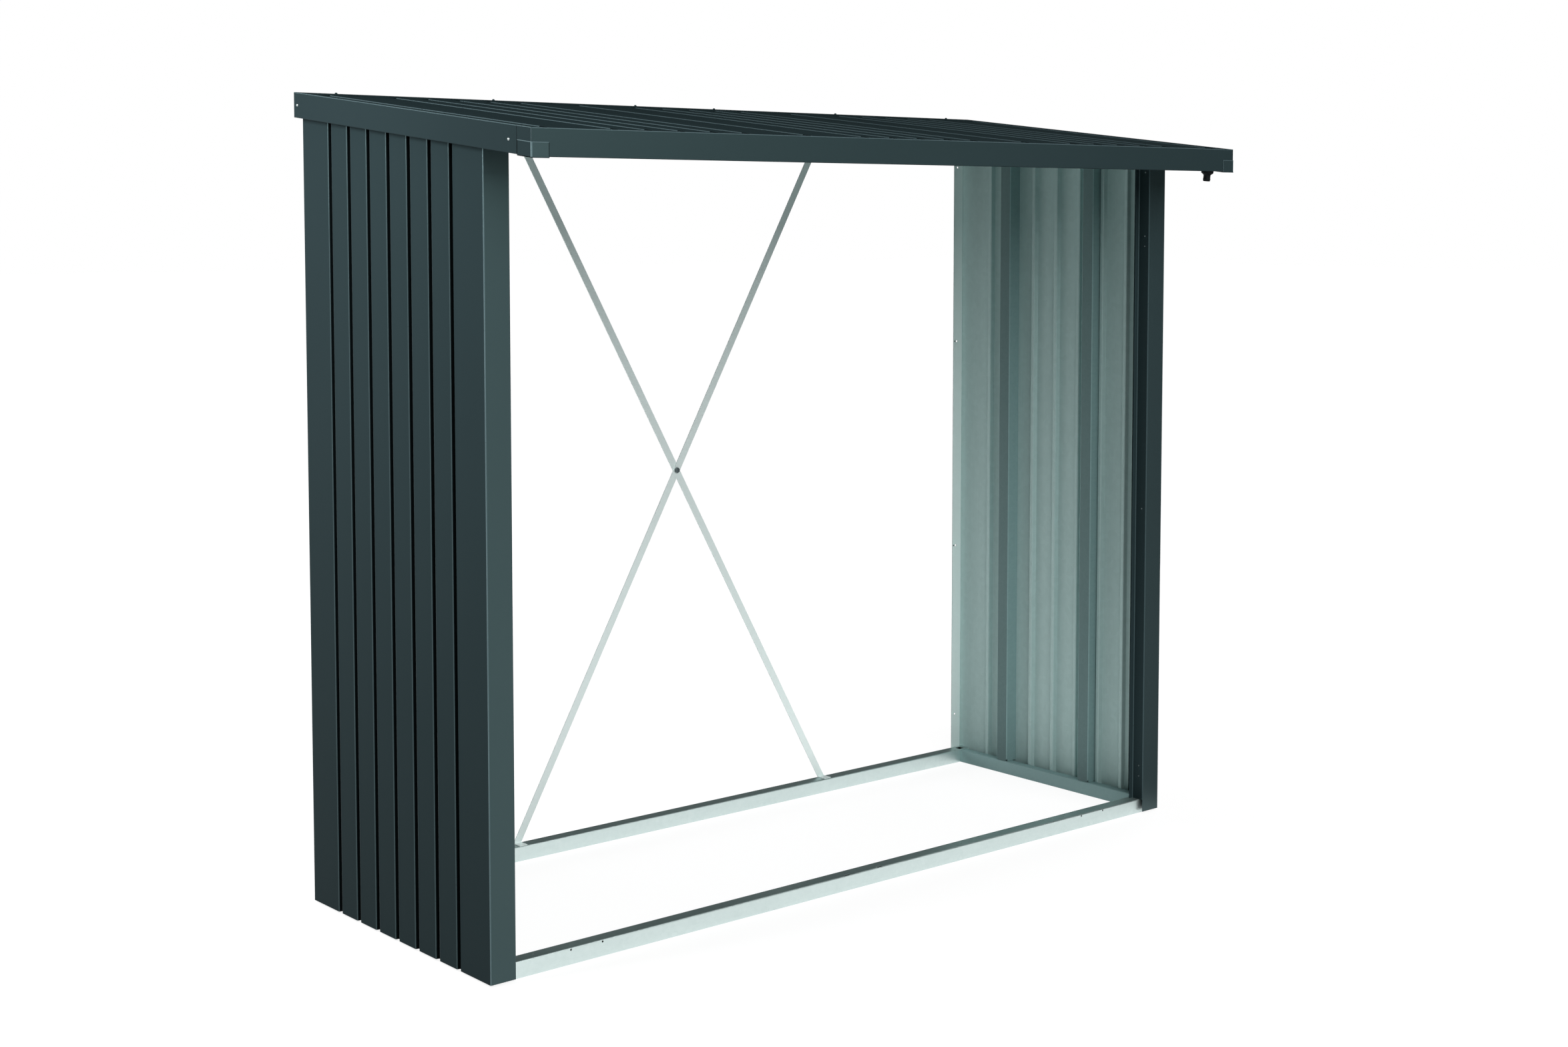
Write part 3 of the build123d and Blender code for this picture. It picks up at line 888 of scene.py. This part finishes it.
# Gutter: a trough with its floor on the roof's slope and a hem in front
gutter_fall = gutter_height * slope_cos
half_gutter = half_roof - sheet - gap
corners = [
    (y_gutter + gutter_hem, eaves),
    (y_gutter, eaves),
    (y_gutter, eaves - gutter_height),
    (y_gutter_rear, roof_z(y_gutter_rear, gutter_fall)),
    (y_gutter_rear, roof_z(y_gutter_rear, support_drop)),
]
path = [Vector((-half_gutter, y, z)) for y, z in corners]
gutter = fold_sheet(
    "gutter",
    path[0],
    path[0] + along_x * 2 * half_gutter,
    path,
    up,
    sheet,
    sheet_fold,
    edge_coating,
    fold=painted_highlight_coating,
)
finish_faces(gutter, gutter_coating, facing(-along_y))
finish_faces(gutter, edge_coating, looking_down)
spout_y = (y_gutter + y_gutter_rear) / 2
spout_place = Vector((spout_x, spout_y, roof_z(spout_y, gutter_fall)))
drill(gutter, spout_bore, off_roof, [spout_place])
place_piece(gutter, "painted_roof_edge", "front_gutter")

for side, sign in sides:
    low = Vector((sign * half_roof, y_gutter, eaves - gutter_height))
    across = Vector((0, y_gutter_rear - y_gutter, (y_gutter_rear - y_gutter) * slope))
    cap = fold_sheet(
        f"{side}_gutter_cap",
        low,
        low + up * gutter_height,
        [low, low + across],
        along_x * sign,
        sheet,
        sheet_fold,
        edge_coating,
    )
    # Painted highlight along the cap's outer edges
    painted_highlight_rim(cap, rim_width, painted_highlight_coating, edge_coating, facing(along_x * sign))
    # Painted shade along each cap's rear edge
    finish_faces(cap, painted_shade_coating, facing(along_x * sign, y_gutter_rear - rim_width))
    place_piece(cap, "painted_roof_edge", f"gutter_end_cap_{side}")

# Corner clips: angles round the lower half of the gutter's ends, with a floor
edge_gap = gap + sheet
x_clip = half_roof + edge_gap
y_clip = y_gutter - edge_gap
clip_trims = [
    (Vector((0, y_gutter, roof_z(y_gutter, gutter_fall + clip_drop - clip_height))), off_roof),
    (Vector((0, y_gutter, roof_z(y_gutter, gutter_fall + clip_drop))), -off_roof),
]
for side, sign in sides:
    corners = [
        (x_clip - clip_front, y_clip),
        (x_clip, y_clip),
        (x_clip, y_clip + clip_side),
    ]
    z_start = eaves - gutter_height - past
    path = [Vector((sign * x, y, z_start)) for x, y in corners]
    clip = fold_sheet(
        f"{side}_corner_clip",
        path[0],
        path[0] + up * (gutter_height + past),
        path,
        -along_y,
        sheet,
        sheet_fold,
        edge_coating,
        fold=painted_highlight_coating,
        trims=clip_trims,
    )
    # Painted highlight along the clip's edges
    painted_highlight_rim(clip, rim_width, painted_highlight_coating, front_coating, facing(-along_y))
    painted_highlight_rim(clip, rim_width, painted_highlight_coating, edge_coating, facing(along_x * sign))
    # Painted shade along the rear edge of each clip's side
    finish_faces(clip, painted_shade_coating, facing(along_x * sign, y_clip + clip_side - rim_width))
    # Painted shade on the left clip's inner edge too
    finish_faces(
        clip,
        painted_shade_coating,
        lambda strip: strip.normal.y < -square_on
        and abs(strip.calc_center_median().x + x_clip - clip_front) < rim_width,
    )
    low = Vector((sign * (x_clip - clip_front), y_clip, roof_z(y_clip, gutter_fall + clip_drop)))
    floor = fold_sheet(
        f"{side}_clip_floor",
        low,
        low + along_x * sign * clip_front,
        [low, low + up_slope * clip_side / slope_cos],
        -off_roof,
        clip_drop - gap,
        sheet_fold,
        edge_coating,
    )
    place_piece(joined(clip, floor), "painted_roof_edge", f"gutter_corner_clip_{side}")

# Drain spout: collar, taper and hose tube with a barb
spout_corners = 48
spout_rings = [
    (spout_bore, 0.0),
    (0.0157, 0.0),
    (0.0165, 0.0008),
    (0.0165, 0.0062),
    (0.0157, 0.0070),
    (0.0100, 0.0118),
    (0.0095, 0.0130),
    (0.0095, 0.0215),
    (0.0102, 0.0225),
    (0.0092, 0.0285),
    (0.0086, 0.0290),
    (spout_bore, 0.0290),
    (spout_bore, 0.0),
]
spout_seat = spout_place - off_roof * gap
spout = turned("spout", spout_rings, spout_seat, -off_roof, black_plastic, spout_corners)
place_piece(spout, "black_plastic", "drain_spout")

# Cross bracing: two straps, each with a foot bent forward on the rear rail, and a bolt where they cross
z_head = roof_z(y_strap, support_drop) - header_height / 2
brace_rise = z_head - rail_top
strap_level_half = strap_width / 2 * hypot(2 * brace_reach, brace_rise) / brace_rise
strap_nodes = (
    ("strap_rising_right", "brace_strap_rising_right", -1, 0),
    ("strap_rising_left", "brace_strap_rising_left", 1, 1),
)
for name, node, sign, layer in strap_nodes:
    y_back = y_strap + strap_sheet + layer * (strap_sheet + gap)
    bend = Vector((sign * brace_reach - strap_level_half, y_back, rail_top))
    start = bend - along_y * (brace_tab + strap_sheet)
    path = [start, bend, bend + Vector((-sign * 2 * brace_reach, 0, brace_rise))]
    strap = fold_sheet(
        name,
        start,
        start + along_x * 2 * strap_level_half,
        path,
        -up,
        strap_sheet,
        strap_fold,
        strap_zinc,
    )
    place_piece(strap, "zinc_strap", node)

z_crossing = rail_top + brace_rise / 2
point = 0.000001  # radius that stands for a ring's middle
washer_radius = 0.0088
washer_thickness = 0.0012
washer_rounding = 0.0003
washer_rings = [
    (point, 0.0),
    (washer_radius - washer_rounding, 0.0),
    (washer_radius, washer_rounding),
    (washer_radius, washer_thickness - washer_rounding),
    (washer_radius - washer_rounding, washer_thickness),
    (point, washer_thickness),
]
hexagon_corners = 6
hexagon_radius = 0.0075
head_top = 0.0050
chamfer_width = 0.0010
chamfer_fall = 0.0004
head_rings = [
    (point, washer_thickness),
    (hexagon_radius, washer_thickness),
    (hexagon_radius, head_top - chamfer_fall),
    (hexagon_radius - chamfer_width, head_top),
    (point, head_top),
]
bolt_front = Vector((0, y_strap - gap, z_crossing))
bolt_rear = Vector((0, y_strap + 2 * (strap_sheet + gap), z_crossing))
# The bolt's head and nut take the darker plating as painted shade; the washers take the plain plating
bolt = joined(
    turned("crossing_bolt", head_rings, bolt_front, -along_y, painted_shade_plated_zinc, hexagon_corners),
    turned("crossing_washer", washer_rings, bolt_front, -along_y, bright_zinc),
    turned("crossing_nut", head_rings, bolt_rear, along_y, painted_shade_plated_zinc, hexagon_corners),
    turned("crossing_nut_washer", washer_rings, bolt_rear, along_y, bright_zinc),
)
place_piece(bolt, "zinc_bolt", "brace_bolt")

# Fasteners: screws along the roof's rear edge and on the fascias, rivets in the posts and rear flanges
dome_shares = ((0, 0), (1, 0), (1, 0.2), (0.86, 0.6), (0.52, 0.9), (0, 1))  # of its radius and height
screw_radius = 0.0036
roof_screw_rise = 0.0034
fascia_screw_rise = 0.0024
rivet_radius = 0.0024
rivet_rise = 0.0012
roof_screw_inset = 0.012
x_roof_screws = (-1.038, -0.587, -0.1355, 0.1355, 0.587, 1.038)
fascia_screw_places = (("front", -0.4239, 1.8509), ("rear", 0.4931, 1.9566))  # y and z
flange_rivet_inset = 0.0325


def domed(name, radius, height, place, axis, finish):
    """A domed head that sits on the sheet."""
    rings = [(max(across * radius, point), rise * height) for across, rise in dome_shares]
    place_piece(turned(name, rings, place, axis, finish, round_corners), "zinc_bolt")


y_roof_screw = y_roof_rear - roof_screw_inset
for number, x in enumerate(x_roof_screws):
    place = Vector((x, y_roof_screw, roof_z(y_roof_screw, 0)))
    domed(f"roof_screw_{number}", screw_radius, roof_screw_rise, place, off_roof, edge_coating)
for side, sign in sides:
    outward = along_x * sign
    for end, y, z in fascia_screw_places:
        name = f"{side}_fascia_screw_{end}"
        place = Vector((sign * half_roof, y, z))
        domed(name, screw_radius, fascia_screw_rise, place, outward, bright_zinc)
    # The rivets in the posts and flanges take the darker plating, as painted shade
    for number, share in enumerate(return_rivet_shares):
        place = Vector((sign * x_return, y_wall_front + return_rivet_inset, share * eaves))
        domed(f"{side}_post_rivet_{number}", rivet_radius, rivet_rise, place, -outward, painted_shade_plated_zinc)
    for number, share in enumerate(flange_hole_shares[1:3]):
        place = Vector((sign * (half_span - flange_rivet_inset), y_wall_rear - sheet, share * eaves))
        domed(f"{side}_flange_rivet_{number}", rivet_radius, rivet_rise, place, -along_y, painted_shade_plated_zinc)

# Floor, light and camera
floor_size = 120
floor_drop = 0.0004  # keeps the floor clear of the rails' undersides
floor_glow = 0.86  # round the store, as a share of white
lamp_reach = (1.5, 4.5)  # radii between which the lamps fade on the floor
dark_side = (0.966, -0.259, 0)  # the way to the right front, where the studio is dark
dark_cosines = (0.75, 0.86)  # off that way, between which the dark sets in
own_ground = (1.15, 1.35)  # radii between which the store's own ground ends
floor_dark = 0.92
sky_dark = 0.08
ceiling_sines = (0.03, 0.22)  # of the heights between which the ceiling darkens
ceiling_level = 0.04
ambient_level = 0.04
white = linear("#ffffff")


def maths(tree, operation, first, second, clamp=False):
    """One sum on two sockets."""
    made = add(tree, "ShaderNodeMath", {}, {0: first, 1: second}, operation=operation, use_clamp=clamp)
    return made.outputs["Value"]


def direct(tree, rays):
    """1 for rays from the camera, in reflections and through glass, and 0 for the rest."""
    seen = maths(tree, "ADD", rays["Is Camera Ray"], rays["Is Glossy Ray"])
    return maths(tree, "ADD", seen, rays["Is Transmission Ray"], clamp=True)


def towards_dark(tree, way):
    """Cosine between a way and the dark side."""
    made = add(tree, "ShaderNodeVectorMath", {1: dark_side}, {0: way}, operation="DOT_PRODUCT")
    return made.outputs["Value"]


def studio_floor(name, shade, glow):
    """Pale painted floor that the camera sees as near white, with the store's shadow on it."""
    material, tree, output = start_material(name)
    rays = add(tree, "ShaderNodeLightPath").outputs
    place = add(tree, "ShaderNodeTexCoord").outputs["Object"]
    # Away from the store, where the lamps are weak, the paint glows up to white
    distance = add(tree, "ShaderNodeVectorMath", {}, {0: place}, operation="LENGTH").outputs["Value"]
    level = ramp(tree, distance, *lamp_reach, glow, 1)
    # In reflections the floor ends in the dark to the right, beyond the store's own ground
    heading = add(tree, "ShaderNodeVectorMath", {}, {0: place}, operation="NORMALIZE").outputs["Vector"]
    rightward = ramp(tree, towards_dark(tree, heading), *dark_cosines, 0, 1)
    beyond = ramp(tree, distance, *own_ground, 0, floor_dark)
    dark = maths(tree, "MULTIPLY", rightward, beyond)
    lit = add(tree, "ShaderNodeMath", {0: 1}, {1: dark}, operation="SUBTRACT").outputs["Value"]
    lit = maths(tree, "MAXIMUM", lit, rays["Is Camera Ray"])
    level = maths(tree, "MULTIPLY", lit, level)
    strength = maths(tree, "MULTIPLY", direct(tree, rays), level)
    matt = add(tree, "ShaderNodeBsdfDiffuse", {"Color": linear(shade)})
    light = add(tree, "ShaderNodeEmission", {"Color": white}, {"Strength": strength})
    both = add(tree, "ShaderNodeAddShader", {}, {0: matt.outputs["BSDF"], 1: light.outputs["Emission"]})
    tree.links.new(both.outputs["Shader"], output.inputs["Surface"])
    return material


bpy.ops.object.select_all(action="DESELECT")
bpy.ops.mesh.primitive_plane_add(size=floor_size, location=(0, 0, -floor_drop))
ground = bpy.context.object
ground.name = "studio_floor"
ground.data.materials.append(studio_floor("studio_floor_paint", "#828282", floor_glow))

# The backdrop is white to the camera; in reflections it darkens above the horizon, like a ceiling
world = bpy.data.worlds.new("studio")
bpy.context.scene.world = world
world.use_nodes = True
sky = world.node_tree
sky.nodes.clear()
rays = add(sky, "ShaderNodeLightPath").outputs
direction = add(sky, "ShaderNodeTexCoord").outputs["Generated"]
height = add(sky, "ShaderNodeSeparateXYZ", {}, {"Vector": direction}).outputs["Z"]
ceiling = ramp(sky, height, *ceiling_sines, 1, ceiling_level)
rightward = ramp(sky, towards_dark(sky, direction), *dark_cosines, 1, sky_dark)
level = maths(sky, "MULTIPLY", ceiling, rightward)
level = maths(sky, "MAXIMUM", level, rays["Is Camera Ray"])
tint = blend(sky, "#86b6b8", "#ffffff", level)
ambient = add(sky, "ShaderNodeBackground", {"Color": white, "Strength": ambient_level})
backdrop = add(sky, "ShaderNodeBackground", {}, {"Color": tint, "Strength": level})
mixed = add(
    sky,
    "ShaderNodeMixShader",
    {},
    {0: direct(sky, rays), 1: ambient.outputs["Background"], 2: backdrop.outputs["Background"]},
)
add(sky, "ShaderNodeOutputWorld", {}, {"Surface": mixed.outputs["Shader"]})


def softbox(name, place, aim, width, height, power, glossy=True, spread=180):
    """A rectangular lamp aimed at a point, with its spread in degrees. The camera does not see it."""
    bpy.ops.object.light_add(type="AREA", location=place)
    lamp = bpy.context.object
    lamp.name = name
    lamp.rotation_euler = (Vector(aim) - Vector(place)).to_track_quat("-Z", "Y").to_euler()
    lamp.data.shape = "RECTANGLE"
    lamp.data.size = width
    lamp.data.size_y = height
    lamp.data.energy = power
    lamp.data.spread = radians(spread)
    lamp.visible_camera = False
    lamp.visible_glossy = glossy


softbox("front_softbox", (-0.5, -5.2, 4.7), (0, 0, 1.0), 7.0, 5.0, 385)
softbox("left_softbox", (-3.0, 0.4, 2.4), (-1.1, 0.3, 1.3), 0.8, 1.2, 60)
# Light that the bright ground in the bay and in front of it throws up
softbox("ground_bounce", (0.4, -0.3, 0.0395), (0.4, -0.3001, 1.0), 1.1, 1.4, 4.5, glossy=False)
# Fill for the sides that the camera does not see, and for the bay from behind
softbox("rear_softbox", (0.4, 4.8, 1.2), (0.5, 0.3, 0.9), 3.2, 1.6, 60, glossy=False)
softbox("low_rear_softbox", (0.2, 2.1, 0.4), (0.5, 0.3, 0.5), 2.0, 0.6, 6, glossy=False, spread=90)
softbox("right_softbox", (5.0, 1.3, 1.0), (1.1, 0.2, 1.0), 2.4, 1.4, 110, glossy=False)

bpy.context.scene.view_settings.view_transform = "Standard"

camera_place = (-3.66984, -4.28154, 1.6871)
camera_fall = 4.0611  # degrees below level
camera_turn = -40.3541  # degrees from the way straight back
bpy.ops.object.camera_add(
    location=camera_place, rotation=(radians(90 - camera_fall), 0, radians(camera_turn))
)
camera = bpy.context.object
camera.data.lens = 50.1572
camera.data.sensor_width = 36
camera.data.shift_y = -0.096
camera.data.clip_end = 200
bpy.context.scene.camera = camera
